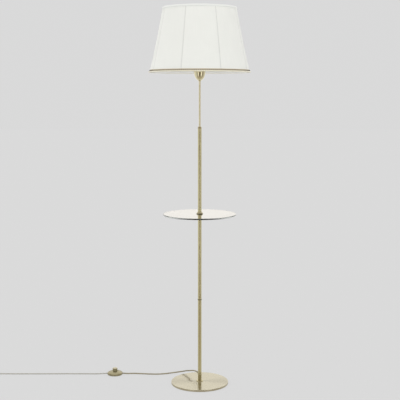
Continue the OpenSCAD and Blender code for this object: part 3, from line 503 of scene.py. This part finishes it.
finish = {
    "base_cover": spun_metal("brushed base brass", (0.61, 0.565, 0.43), (0.53, 0.48, 0.355), 0.26,
                             anisotropy=0.85),
    "pole": drawn_metal("satin brass", (0.71, 0.65, 0.40), (0.62, 0.56, 0.33), 0.24, amount=0.05,
                        depth=0.000003),
    # The stem's brass is a paler copy of the pole's: a painted highlight for the brighter reflections on
    # the thin rod.
    "stem": drawn_metal("pale satin brass", (0.93, 0.86, 0.64), (0.84, 0.77, 0.55), 0.22),
    "turned": spun_metal("turned brass", (0.68, 0.61, 0.40), (0.52, 0.45, 0.27), 0.22, rings=3500.0,
                         depth=0.00001),
    "flange": spun_metal("dark turned brass", (0.45, 0.395, 0.245), (0.34, 0.29, 0.17), 0.28, rings=3500.0,
                         depth=0.00001),
    # The joint collar's brass is painted dark, a painted shade for the shadow in the gap of the pole's
    # joint, with heavy handling marks on it.
    "painted_joint_shade": drawn_metal("darkened brass", (0.30, 0.26, 0.16), (0.16, 0.13, 0.08), 0.38, amount=0.6),
    "polished": spun_metal("polished brass", (0.80, 0.735, 0.50), (0.62, 0.54, 0.33), 0.11, depth=0.000003),
    "zinc": drawn_metal("zinc-plated steel", (0.62, 0.62, 0.63), (0.42, 0.43, 0.45), 0.35, amount=0.5),
    "iron": moulded("raw cast iron", (0.045, 0.045, 0.047), (0.09, 0.07, 0.05), 0.75, grain=700.0,
                    depth=0.0004),
    "felt": moulded("black felt", (0.030, 0.030, 0.032), (0.06, 0.06, 0.06), 0.95, grain=1500.0,
                    depth=0.0006),
    "glass": clear_glass(),
    "washer": moulded("dark soft washer", (0.035, 0.035, 0.032), (0.07, 0.07, 0.06), 0.5, coat=0.1),
    "insulator": moulded("holder insulator", (0.72, 0.71, 0.67), (0.62, 0.60, 0.55), 0.35, coat=0.2),
    "bulb_cap": spun_metal("bulb cap aluminium", (0.78, 0.78, 0.79), (0.60, 0.60, 0.60), 0.3),
    "bulb": moulded("opal bulb glass", (0.86, 0.86, 0.84), (0.82, 0.82, 0.79), 0.12, coat=0.6,
                    depth=0.000001),
    "wire": moulded("white enamelled wire", (0.88, 0.88, 0.85), (0.80, 0.79, 0.75), 0.35, coat=0.4),
    # The darker seam colour is partly the seams' own line and partly a painted shadow of the wire ribs
    # behind the cloth.
    "cloth": shade_textile("pleated shade cloth", (0.905, 0.912, 0.868), 1700.0, seam=(0.70, 0.70, 0.67),
                           glow=(0.95, 0.94, 0.90), share=0.15),
    "lining": shade_textile("shade lining", (0.96, 0.95, 0.91), 1200.0, roughness=0.6,
                            glow=(0.97, 0.95, 0.90), share=0.10),
    "tape": shade_textile("shade tape", (0.79, 0.80, 0.765), 2200.0),
    "braid_tape": shade_textile("braid tape", (0.64, 0.55, 0.39), 2500.0, sheen=0.3, depth=0.0002),
    "braid_knots": moulded("braid knots", (0.035, 0.022, 0.01), (0.08, 0.055, 0.025), 0.6, grain=2500.0,
                           depth=0.0004),
    "gold_strand": yarn("gold strand", (0.68, 0.58, 0.38), (0.74, 0.64, 0.43), 3.0, 900.0, sheen=0.5),
    "cream_strand": yarn("cream strand", (0.93, 0.91, 0.77), (0.96, 0.94, 0.82), 3.0, 900.0, sheen=0.5),
    "gold_cord": yarn("braided gold cord", (0.25, 0.215, 0.135), (0.32, 0.28, 0.19), 8.0, 300.0),
    "pale_cord": yarn("braided pale cord", (0.38, 0.365, 0.32), (0.46, 0.445, 0.395), 8.0, 340.0),
    "bushing": moulded("bushing plastic", (0.25, 0.22, 0.15), (0.32, 0.29, 0.21), 0.45),
    "black": moulded("black moulding", (0.03, 0.03, 0.03), (0.07, 0.07, 0.07), 0.45, coat=0.1),
    "switch_cover": moulded("gold switch cover", (0.37, 0.33, 0.205), (0.31, 0.275, 0.16), 0.34,
                            metallic=0.85),
    # The button's barrel colour is darker than its top's: a painted shade on its side.
    "button": gilt_button_painted_barrel_shade("gold button", (0.62, 0.57, 0.41), (0.34, 0.305, 0.18), 0.25),
    "plug": moulded("plug plastic", (0.72, 0.70, 0.65), (0.62, 0.60, 0.54), 0.45, coat=0.1),
    "pins": drawn_metal("nickel-plated pins", (0.72, 0.70, 0.66), (0.55, 0.53, 0.49), 0.18),
}

carried_over = {
    "base_cover": "base_cover", "base_weight": "iron", "base_pad": "felt", "base_washer": "zinc",
    "base_screw": "zinc", "foot_collar": "turned", "lower_tube": "pole", "middle_tube": "pole",
    "upper_tube": "pole", "tube_inserts": "zinc", "joint_collar": "painted_joint_shade", "joint_nipple": "zinc",
    "tube_cap": "turned", "stem": "stem", "pole_lead": "gold_cord", "cord_bushing": "bushing",
    "glass_top": "glass", "table_nipple": "zinc", "lower_flange": "flange", "upper_flange": "flange",
    "lower_gasket": "washer", "upper_gasket": "washer", "socket_cup": "polished",
    "holder_core": "insulator", "holder_contact": "polished", "holder_sleeve": "insulator",
    "screw_shell": "polished", "shade_nut": "insulator", "bulb_cap": "bulb_cap", "bulb_glass": "bulb",
    "shade_top_ring": "wire", "shade_bottom_ring": "wire", "shade_ribs": "wire", "shade_spider": "wire",
    "shade_top_binding": "tape", "cord_tie": "black", "switch_cover": "switch_cover",
    "switch_base": "black", "switch_pad": "felt", "switch_button": "button", "switch_spring": "zinc",
    "switch_core": "black", "switch_screws": "zinc", "switch_clamps": "black", "plug_body": "plug",
    "plug_pins": "pins",
}
SOFT_EDGE = 28         # degrees between faces up to which a turned piece's facets are shaded as one surface
SAME_PLACE = 6         # decimals of a metre to which two vertices are one point
TINY = 1e-30


def read_array(items, key, count, kind=float):
    values = np.empty(count, kind)
    items.foreach_get(key, values)
    return values


def soften(mesh):
    """Shades the facets of curved faces as one surface and keeps the edges sharp. No vertex moves."""
    co = read_array(mesh.vertices, "co", len(mesh.vertices) * 3).reshape(-1, 3)
    weld = np.unique(np.round(co, SAME_PLACE), axis=0, return_inverse=True)[1].ravel()
    point = weld[read_array(mesh.loops, "vertex_index", len(mesh.loops), int)]
    faces = len(mesh.polygons)
    face = np.repeat(np.arange(faces), read_array(mesh.polygons, "loop_total", faces, int))
    normal = read_array(mesh.polygons, "normal", faces * 3).reshape(-1, 3)
    area = read_array(mesh.polygons, "area", faces)
    # Each corner is paired with every corner at the same point: here is the first of a pair, and there is
    # the second.
    order = np.argsort(point, kind="stable")
    count = np.bincount(point)[point]
    first = np.searchsorted(point[order], point)
    here = np.repeat(np.arange(len(point)), count)
    start = np.repeat(np.cumsum(count) - count, count)
    there = order[np.repeat(first, count) + np.arange(len(here)) - start]
    alike = (normal[face[here]] * normal[face[there]]).sum(1) > math.cos(math.radians(SOFT_EDGE))
    here, there = here[alike], face[there[alike]]
    total = [np.bincount(here, area[there] * normal[there, axis], len(point)) for axis in range(3)]
    total = np.stack(total, -1)
    size = np.linalg.norm(total, axis=1)[:, None]
    mesh.polygons.foreach_set("use_smooth", [True] * faces)
    mesh.normals_split_custom_set(np.where(size > 0, total / np.maximum(size, TINY), normal[face]))


for node, look in carried_over.items():
    for slot in nodes[node].material_slots:
        slot.material = finish[look]
    if look != "glass":
        soften(nodes[node].data)


def make_button_spring():
    """A copy of the foot switch's spring on the lamp's body, in place of the original."""
    spring = bpy.data.objects.new("button_spring", nodes["switch_spring"].data.copy())
    bpy.context.scene.collection.objects.link(spring)
    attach(spring, lamp)
    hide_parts("switch_spring")
    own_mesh(spring)


make_button_spring()


# ---------- cords ----------

outlet_turn = math.radians(121.5)
outlet = np.array([math.cos(outlet_turn), math.sin(outlet_turn), 0])
relief_reach, relief_z = 28, 43.5
relief_end = relief_reach * outlet + [0, 0, relief_z]
switch = np.array([-378.5, 118.0, 5.0])
switch_reach = 12                # from the switch's middle to the cord's end inside it, on either side
ahead_by = 10                    # to the extra point that sets a cord's direction at its end
cord_r, lead_r = 2.75, 2.4       # before and after the switch
cord_step, lead_step = 4, 8      # between the tubes' rings
cord_sides, lead_sides = 20, 16

lamp_side = [
    (-19, 33, 42.5), (-24, 44.5, 40.4), (-30, 57, 37), (-37, 68, 33.3), (-45, 78.5, 29.7),
    (-53, 88.5, 26.2), (-62, 98.5, 22.3), (-71, 107, 18), (-81, 113.5, 14.6), (-91, 117.5, 11.7),
    (-102, 121, 9), (-115, 124, 6.3), (-130, 124.6, 4), (-147, 121, 3), (-170, 115, 2.8),
    (-195, 112, 2.8), (-225, 114, 2.8), (-255, 118, 2.8), (-285, 122, 2.8), (-305, 122, 2.8),
    (-320, 120, 3.2), (-332, 118.4, 4.2), (-342, 118, 4.9), (-350, 118, 5), (-360, 118, 5),
]
plug_side = [
    (-401, 118, 5), (-411, 118, 5), (-422, 118, 4.6), (-434, 118, 3.8), (-448, 118, 2.9),
    (-464, 118, 2.4), (-485, 118, 2.4), (-530, 118.6, 2.4), (-590, 119, 2.4), (-650, 118.6, 2.4),
    (-710, 118, 2.4), (-770, 117.6, 2.4), (-830, 117.8, 2.4), (-880, 118, 2.6), (-910, 118, 3),
    (-928, 118, 3.4),
]
coil_centre_x, coil_mean_r, coil_pitch, coil_turns = -945.0, 27.2, 5.3, 6
coil_out_r = coil_mean_r + coil_pitch * coil_turns / 4
coil_rings = 32                  # of the tube's rings in each turn of the coil
coil_ahead = 6                   # from the cord's last point before the coil to the coil's first
strap_lift, strap_thickness, strap_gap = 0.1, 0.6, 0.3
coil_low = strap_lift + strap_thickness + strap_gap + lead_r
coil_high = coil_low + coil_pitch
plug_thickness, plug_lift = 13.7, 0.15
plug_height = plug_thickness / 2 + plug_lift
plug_steps, plug_step = 10, 3.4  # from the coil to the plug
plug_climb = 6                   # how many of the steps rise


def ease(t):
    """A smooth rise from 0 to 1."""
    t = min(max(t, 0.0), 1.0)
    return t * t * (3 - 2 * t)


def coil_line():
    """The put-away cord: in on the lower layer, up where it reverses, out on the upper one, and on to the
    plug."""
    line = []
    for i in range(coil_turns * coil_rings + 1):
        t = i / coil_rings
        r = coil_out_r - coil_pitch * min(t, coil_turns - t)
        a = math.radians(-90 - 360 * t)
        climb = ease(2 * (t - coil_turns / 2) + 0.5)
        line.append((coil_centre_x + r * math.cos(a), switch[1] + coil_out_r + r * math.sin(a),
                     coil_low + coil_pitch * climb))
    for i in range(1, plug_steps + 1):
        height = coil_high + (plug_height - coil_high) * ease(i / plug_climb)
        line.append((coil_centre_x - plug_step * i, switch[1], height))
    return line


def lay_cords():
    """The cord from the pole to the foot switch, and the one from there to the plug."""
    end = switch + [switch_reach, 0, 0]
    route = [relief_end - ahead_by * outlet, relief_end, *lamp_side, end, end - [ahead_by, 0, 0]]
    line = smooth_line(route, cord_step) * MM
    upper = tube("lamp_side_cord", line, cord_r * MM, cord_sides, finish["gold_cord"])
    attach(upper, lamp)
    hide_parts("cord_to_switch")
    start = switch - [switch_reach, 0, 0]
    first = np.array([coil_centre_x + coil_ahead, switch[1], coil_low])
    route = [start + [ahead_by, 0, 0], start, *plug_side, first, first - [ahead_by, 0, 0]]
    line = np.concatenate([smooth_line(route, lead_step), coil_line()]) * MM
    lower = tube("plug_side_cord", line, lead_r * MM, lead_sides, finish["pale_cord"])
    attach(lower, lamp)
    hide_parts("cord_to_plug", "cord_coil")


lay_cords()


# ---------- shade ----------

shade_top, shade_bottom = 1600.0, 1334.0
top_r, bottom_r = 152.5, 208.5
slope = (bottom_r - top_r) / (shade_top - shade_bottom)
gores, first_seam = 8, math.radians(24)

PLEATS = 40                      # in each gore
PLEAT_STEPS = 5
PLEAT_DEPTH = 0.35
CLOTH_ROWS = 25
CLOTH_LOW, CLOTH_HIGH = 0.6, 0.9       # from the rings' levels to the cloth's edges
CLOTH_FACE, CLOTH_BACK = 0.45, 1.15    # how far inside the shade's outline its two layers lie
CLOTH_TALL = 0.272               # metres along the slanted height
DRAWN_IN = 2.2                   # between two wires and two rings
SEAM_DEPTH, SEAM_SPREAD = 0.75, 2.2
GORE_WIDTH = 140                 # of the cloth, as in GORE_U

TAPE_COLUMNS = 720
TAPE_Z = np.array([4.0, 4.5, 9.5, 10.0])           # above the bottom ring
TAPE_PROUD = np.array([0.15, 0.7, 0.7, 0.15])      # out from the shade's outline
TAPE_BACK = 0.05
TAPE_LENGTH = 1.31
TAPE_V = np.array([0, 0.001, 0.006, 0.007, 0.008, 0.014, 0.015])
KNOTS = 152
KNOT_RINGS, KNOT_SIDES = 7, 10
KNOT_WIDE, KNOT_TALL, KNOT_DEEP = 2.2, 2.6, 1.1    # half sizes
KNOT_Z, KNOT_OUT = 6.4, 0.9

EDGE_Z, EDGE_OUT = 1.4, 2.65     # the edge cord's middle, above the bottom ring and out from the outline
EDGE_TWISTS = 152
EDGE_STEPS = 9                   # in each twist
EDGE_OFFSET, STRAND_R, STRAND_SIDES = 1.2, 1.28, 6


def cone_r(z):
    """The radius of the shade's outline at a height."""
    return top_r + (shade_top - z) * slope


def make_shade_cloth():
    """Eight gores of knife-pleated cloth, stretched between the rings, drawn in a little between the wires
    and tucked in at each seam. The lining is its inner layer."""
    z = np.linspace(shade_bottom + CLOTH_LOW, shade_top - CLOTH_HIGH, CLOTH_ROWS)
    up = (z - z[0]) / (z[-1] - z[0])
    columns = gores * PLEATS * PLEAT_STEPS
    u = np.arange(columns) / (PLEATS * PLEAT_STEPS)
    in_gore = u % 1
    fold = PLEAT_DEPTH * ((np.arange(columns) % PLEAT_STEPS) / (PLEAT_STEPS - 1))
    seam = np.exp(-(np.minimum(in_gore, 1 - in_gore) * GORE_WIDTH / SEAM_SPREAD) ** 2)
    drawn_in = DRAWN_IN * (np.sin(math.pi * in_gore)[None, :] * np.sin(math.pi * up)[:, None])
    turn = first_seam + u * 2 * math.pi / gores
    out = cone_r(z)[:, None] - CLOTH_FACE + fold[None, :] - SEAM_DEPTH * seam[None, :] - drawn_in
    inner = cone_r(z)[:, None] - CLOTH_BACK - drawn_in
    layers = [around_pole(r, turn, z[:, None]).reshape(-1, 3) for r in (out, inner)]
    points = np.concatenate(layers) * MM

    step = CLOTH_ROWS * columns
    outer_faces = grid_faces(CLOTH_ROWS, columns, closed_columns=True)
    inner_faces = outer_faces[:, ::-1] + step
    k = np.arange(columns)
    k2 = (k + 1) % columns
    low_rim = np.stack([k + step, k2 + step, k2, k], -1)
    high = (CLOTH_ROWS - 1) * columns
    high_rim = np.stack([high + k, high + k2, high + k2 + step, high + k + step], -1)
    faces = np.concatenate([outer_faces, inner_faces, low_rim, high_rim])

    length = np.concatenate([u, [gores]]) * GORE_U
    uv = grid_uv(length, up * CLOTH_TALL).reshape(-1, 4, 2)
    rim_uv = np.repeat(np.stack([length[:-1], 0 * length[:-1]], -1)[:, None], 4, 1)
    uv = np.concatenate([uv, uv[:, ::-1], rim_uv, rim_uv]).reshape(-1, 2)

    cloth = new_mesh("shade_cloth", points, faces, finish["cloth"], uv)
    cloth.data.materials.append(finish["lining"])
    which = np.zeros(len(faces), np.int32)
    which[len(outer_faces):len(outer_faces) + len(inner_faces)] = 1
    cloth.data.polygons.foreach_set("material_index", which)
    cloth.data.update()
    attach(cloth, lamp)
    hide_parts("shade_fabric")


def make_braid_tape():
    """The trim's flat tape."""
    z = shade_bottom + TAPE_Z
    turn = np.linspace(0, 2 * math.pi, TAPE_COLUMNS, endpoint=False)
    rings = around_pole((cone_r(z) + TAPE_PROUD)[:, None], turn, z[:, None])
    z_back = z[[3, 0]]
    backs = around_pole((cone_r(z_back) + TAPE_BACK)[:, None], turn, z_back[:, None])
    points = np.concatenate([rings, backs]).reshape(-1, 3) * MM
    faces = grid_faces(6, TAPE_COLUMNS, closed_rows=True, closed_columns=True)
    uv = grid_uv(np.linspace(0, TAPE_LENGTH, TAPE_COLUMNS + 1), TAPE_V)
    tape = new_mesh("braid_tape", points, faces, finish["braid_tape"], uv)
    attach(tape, lamp)


def make_braid_knots():
    """The dark knots that are sewn along the tape."""
    a = np.linspace(-math.pi / 2, math.pi / 2, KNOT_RINGS)
    b = np.linspace(0, 2 * math.pi, KNOT_SIDES, endpoint=False)
    dx = KNOT_WIDE * np.outer(np.cos(a), np.cos(b))
    dz = KNOT_TALL * np.outer(np.cos(a), np.sin(b))
    dr = KNOT_DEEP * np.outer(np.sin(a), np.ones(KNOT_SIDES))
    z0 = shade_bottom + KNOT_Z
    r = cone_r(z0) + KNOT_OUT + dr - dz * slope
    one = grid_faces(KNOT_RINGS, KNOT_SIDES, closed_columns=True)
    points, faces = [], []
    for k in range(KNOTS):
        t = 2 * math.pi * (k + 0.5) / KNOTS
        x = r * math.cos(t) - dx * math.sin(t)
        y = r * math.sin(t) + dx * math.cos(t)
        points.append(np.stack([x, y, z0 + dz], -1).reshape(-1, 3))
        faces.append(one + k * KNOT_RINGS * KNOT_SIDES)
    knot_row = new_mesh("braid_knots", np.concatenate(points) * MM, np.concatenate(faces),
                        finish["braid_knots"])
    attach(knot_row, lamp)
    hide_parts("shade_braid")


def make_edge_cord():
    """The round cord on the shade's lower edge: three strands laid up together."""
    z0 = shade_bottom + EDGE_Z
    r0 = cone_r(z0) + EDGE_OUT
    turn = np.linspace(0, 2 * math.pi, EDGE_TWISTS * EDGE_STEPS, endpoint=False)
    for strand, look in enumerate(("cream_strand", "gold_strand", "cream_strand")):
        lay = turn * EDGE_TWISTS + strand * 2 * math.pi / 3
        line = around_pole(r0 + EDGE_OFFSET * np.cos(lay), turn, z0 + EDGE_OFFSET * np.sin(lay)) * MM
        piece = tube(f"edge_cord_strand_{strand + 1}", line, STRAND_R * MM, STRAND_SIDES, finish[look],
                     closed=True)
        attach(piece, lamp)
        if strand == 0:
            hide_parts("shade_cord")


make_shade_cloth()
make_braid_tape()
make_braid_knots()
make_edge_cord()


# ---------- studio ----------

BACKDROP = 0.6975      # the photograph's plain grey
FLOOR_SHADOW = 0.12    # how much of the floor's own shading the camera sees
FLOOR_PLAIN = 0.674    # the floor's part of the backdrop, which with its shading comes to the same grey
FLOOR_REACH, FLOOR_Z = 30, -0.0003

# What metal sees of the floor: its front, its middle, and then the backdrop's grey. The two fades between
# them run along Y. Between the two distances of FLOOR_ENDS from the pole, the floor goes over into the
# studio beyond.
FLOOR_FRONT, FLOOR_MIDDLE = (0.24, 0.20, 0.15, 1), (0.42, 0.37, 0.28, 1)
FRONT_FADE, BACK_FADE = (-2.0, -0.6), (-0.5, 0.35)
FLOOR_ENDS = (1.2, 2.2)

# What metal sees round the studio, from behind the lamp by its left side, its front and its right side to
# behind again: turn in degrees from the camera's direction, and brightness. Two narrow light boxes flank
# the camera.
studio_round = [
    (-180, 1.0), (-145, 0.98), (-115, 0.84), (-90, 0.76), (-75, 0.70), (-62, 0.52), (-52, 0.28),
    (-41, 0.24), (-38, 1.35), (-23, 1.35), (-20, 0.17), (0, 0.18), (25, 0.18), (28, 1.35), (45, 1.35),
    (48, 0.24), (56, 0.26), (68, 0.38), (90, 0.52), (115, 0.66), (145, 0.92), (180, 1.0),
]
DARK_TINT = (1.0, 0.86, 0.68)          # the studio's dark parts are warm
TINT_LOW, TINT_FADE = 0.25, 0.35       # the brightness up to which they are, and how fast that goes
LIGHT_BELOW, LIGHT_ABOVE = 0.93, 1.0   # what cloth and paint are lit by

# The studio above its sides: dark in front, two tones behind, and a ceiling. BACK_TO_FRONT is a fade along
# -Y, and the others are fades along Z, all in parts of the direction that is looked in.
BACK_LOW, BACK_HIGH = (0.80, 0.79, 0.77, 1), (1.50, 1.49, 1.46, 1)
UPPER_FRONT = (0.22, 0.18, 0.13, 1)
CEILING = (1.1, 1.1, 1.1, 1)
BACK_RISES, SIDES_END, CEILING_FROM = (0.34, 0.46), (0.12, 0.22), (0.45, 0.85)
BACK_TO_FRONT = (-0.90, 0.2)

# A pale band low down behind the lamp: where it starts and ends upwards, and its fade towards the back.
BACK_GLOW = (1.13, 1.06, 0.96, 1)
GLOW_STARTS, GLOW_ENDS, GLOW_BEHIND = (-0.02, 0.03), (0.23, 0.13), (0.5, 0.9)


def grey(level):
    return (level, level, level, 1)


def make_floor():
    """A pale floor. The camera and glass see it as the plain backdrop with a faint shadow. Metal sees it
    darker towards the front, and past its edge the studio beyond."""
    f, z = FLOOR_REACH, FLOOR_Z
    points = [(-f, -f, z), (f, -f, z), (f, f, z), (-f, f, z)]
    material, tree, shader = principled("studio floor", (0.84, 0.84, 0.84), 0.9)
    path = join(tree, "ShaderNodeLightPath").outputs
    place = object_place(tree)
    depth = axes_of(tree, place)["Y"]
    near = mix_colour(tree, map_range(tree, depth, *FRONT_FADE), FLOOR_FRONT, FLOOR_MIDDLE)
    mirrored = mix_colour(tree, map_range(tree, depth, *BACK_FADE, smooth=True), near, grey(BACKDROP))
    seen_colour = mix_colour(tree, path["Is Glossy Ray"], grey(FLOOR_PLAIN), mirrored)
    plain = join(tree, "ShaderNodeEmission", {"Color": seen_colour, "Strength": 1.0})
    seen = math_node(tree, "MAXIMUM", path["Is Camera Ray"],
                     math_node(tree, "MAXIMUM", path["Is Glossy Ray"], path["Is Transmission Ray"]))
    share = math_node(tree, "MULTIPLY", seen, 1 - FLOOR_SHADOW)
    mixed = join(tree, "ShaderNodeMixShader", {0: share, 1: shader.outputs[0], 2: plain.outputs[0]})
    away = map_range(tree, length_of(tree, place), *FLOOR_ENDS, smooth=True)
    beyond = math_node(tree, "MULTIPLY", path["Is Glossy Ray"], away)
    clear = join(tree, "ShaderNodeBsdfTransparent")
    ended = join(tree, "ShaderNodeMixShader", {0: beyond, 1: mixed.outputs[0], 2: clear.outputs[0]})
    tree.links.new(ended.outputs[0], tree.nodes["Material Output"].inputs["Surface"])
    new_mesh("studio_floor", points, [(0, 1, 2, 3)], material, smooth=False)


def make_world():
    """An even light on the object. The camera and glass see the plain backdrop, and metal sees the studio
    round it: light boxes in a dark front, paler sides, and a bright ceiling and back."""
    world = bpy.data.worlds.new("studio")
    bpy.context.scene.world = world
    world.use_nodes = True
    tree = world.node_tree
    background = tree.nodes["Background"]
    split = axes_of(tree, join(tree, "ShaderNodeTexCoord").outputs["Generated"])
    front = math_node(tree, "MULTIPLY", split["Y"], -1.0)
    turn = math_node(tree, "DIVIDE", math_node(tree, "ARCTAN2", split["X"], front), 2 * math.pi)
    ramp = join(tree, "ShaderNodeValToRGB", {0: math_node(tree, "ADD", turn, 0.5)})
    stops = ramp.color_ramp.elements
    for degrees, level in studio_round:
        place = degrees / 360 + 0.5
        stop = stops[0] if place == 0 else stops[-1] if place == 1 else stops.new(place)
        stop.position = place
        pale = min(max((level - TINT_LOW) / TINT_FADE, 0), 1)
        stop.color = (*[level * (tint + (1 - tint) * pale) for tint in DARK_TINT], 1)

    def fade(value, limits):
        return map_range(tree, value, *limits, smooth=True)

    back = mix_colour(tree, fade(split["Z"], BACK_RISES), BACK_LOW, BACK_HIGH)
    upper = mix_colour(tree, fade(front, BACK_TO_FRONT), back, UPPER_FRONT)
    sides = mix_colour(tree, fade(split["Z"], SIDES_END), ramp.outputs["Color"], upper)
    walls = mix_colour(tree, fade(split["Z"], CEILING_FROM), sides, CEILING)
    starts = map_range(tree, split["Z"], *GLOW_STARTS)
    low = math_node(tree, "MULTIPLY", starts, fade(split["Z"], GLOW_ENDS))
    glow = math_node(tree, "MULTIPLY", low, fade(split["Y"], GLOW_BEHIND))
    around = mix_colour(tree, glow, walls, BACK_GLOW)
    path = join(tree, "ShaderNodeLightPath").outputs
    plain = math_node(tree, "MAXIMUM", path["Is Camera Ray"], path["Is Transmission Ray"])
    backdrop = mix_colour(tree, plain, around, grey(BACKDROP))
    even = map_range(tree, split["Z"], low=-1.0, high=1.0, to_low=LIGHT_BELOW, to_high=LIGHT_ABOVE)
    lit = mix_colour(tree, path["Is Diffuse Ray"], backdrop, even)
    tree.links.new(lit, background.inputs["Color"])
    background.inputs["Strength"].default_value = 1.0


def add_sun(name, strength, angle, azimuth, elevation):
    """A wide soft lamp. Azimuth 0 shines from the camera's side, and 90 from the right."""
    data = bpy.data.lights.new(name, "SUN")
    data.energy = strength
    data.angle = math.radians(angle)
    sun = bpy.data.objects.new(name, data)
    sun.visible_glossy = False
    a, e = math.radians(azimuth), math.radians(elevation)
    back = Vector((math.sin(a) * math.cos(e), -math.cos(a) * math.cos(e), math.sin(e)))
    sun.rotation_euler = back.to_track_quat("Z", "Y").to_euler()
    bpy.context.scene.collection.objects.link(sun)


make_floor()
make_world()
add_sun("front_light", strength=0.4, angle=60, azimuth=0, elevation=35)
add_sun("side_light", strength=0.34, angle=30, azimuth=-125, elevation=15)
bpy.context.scene.view_settings.view_transform = "Standard"
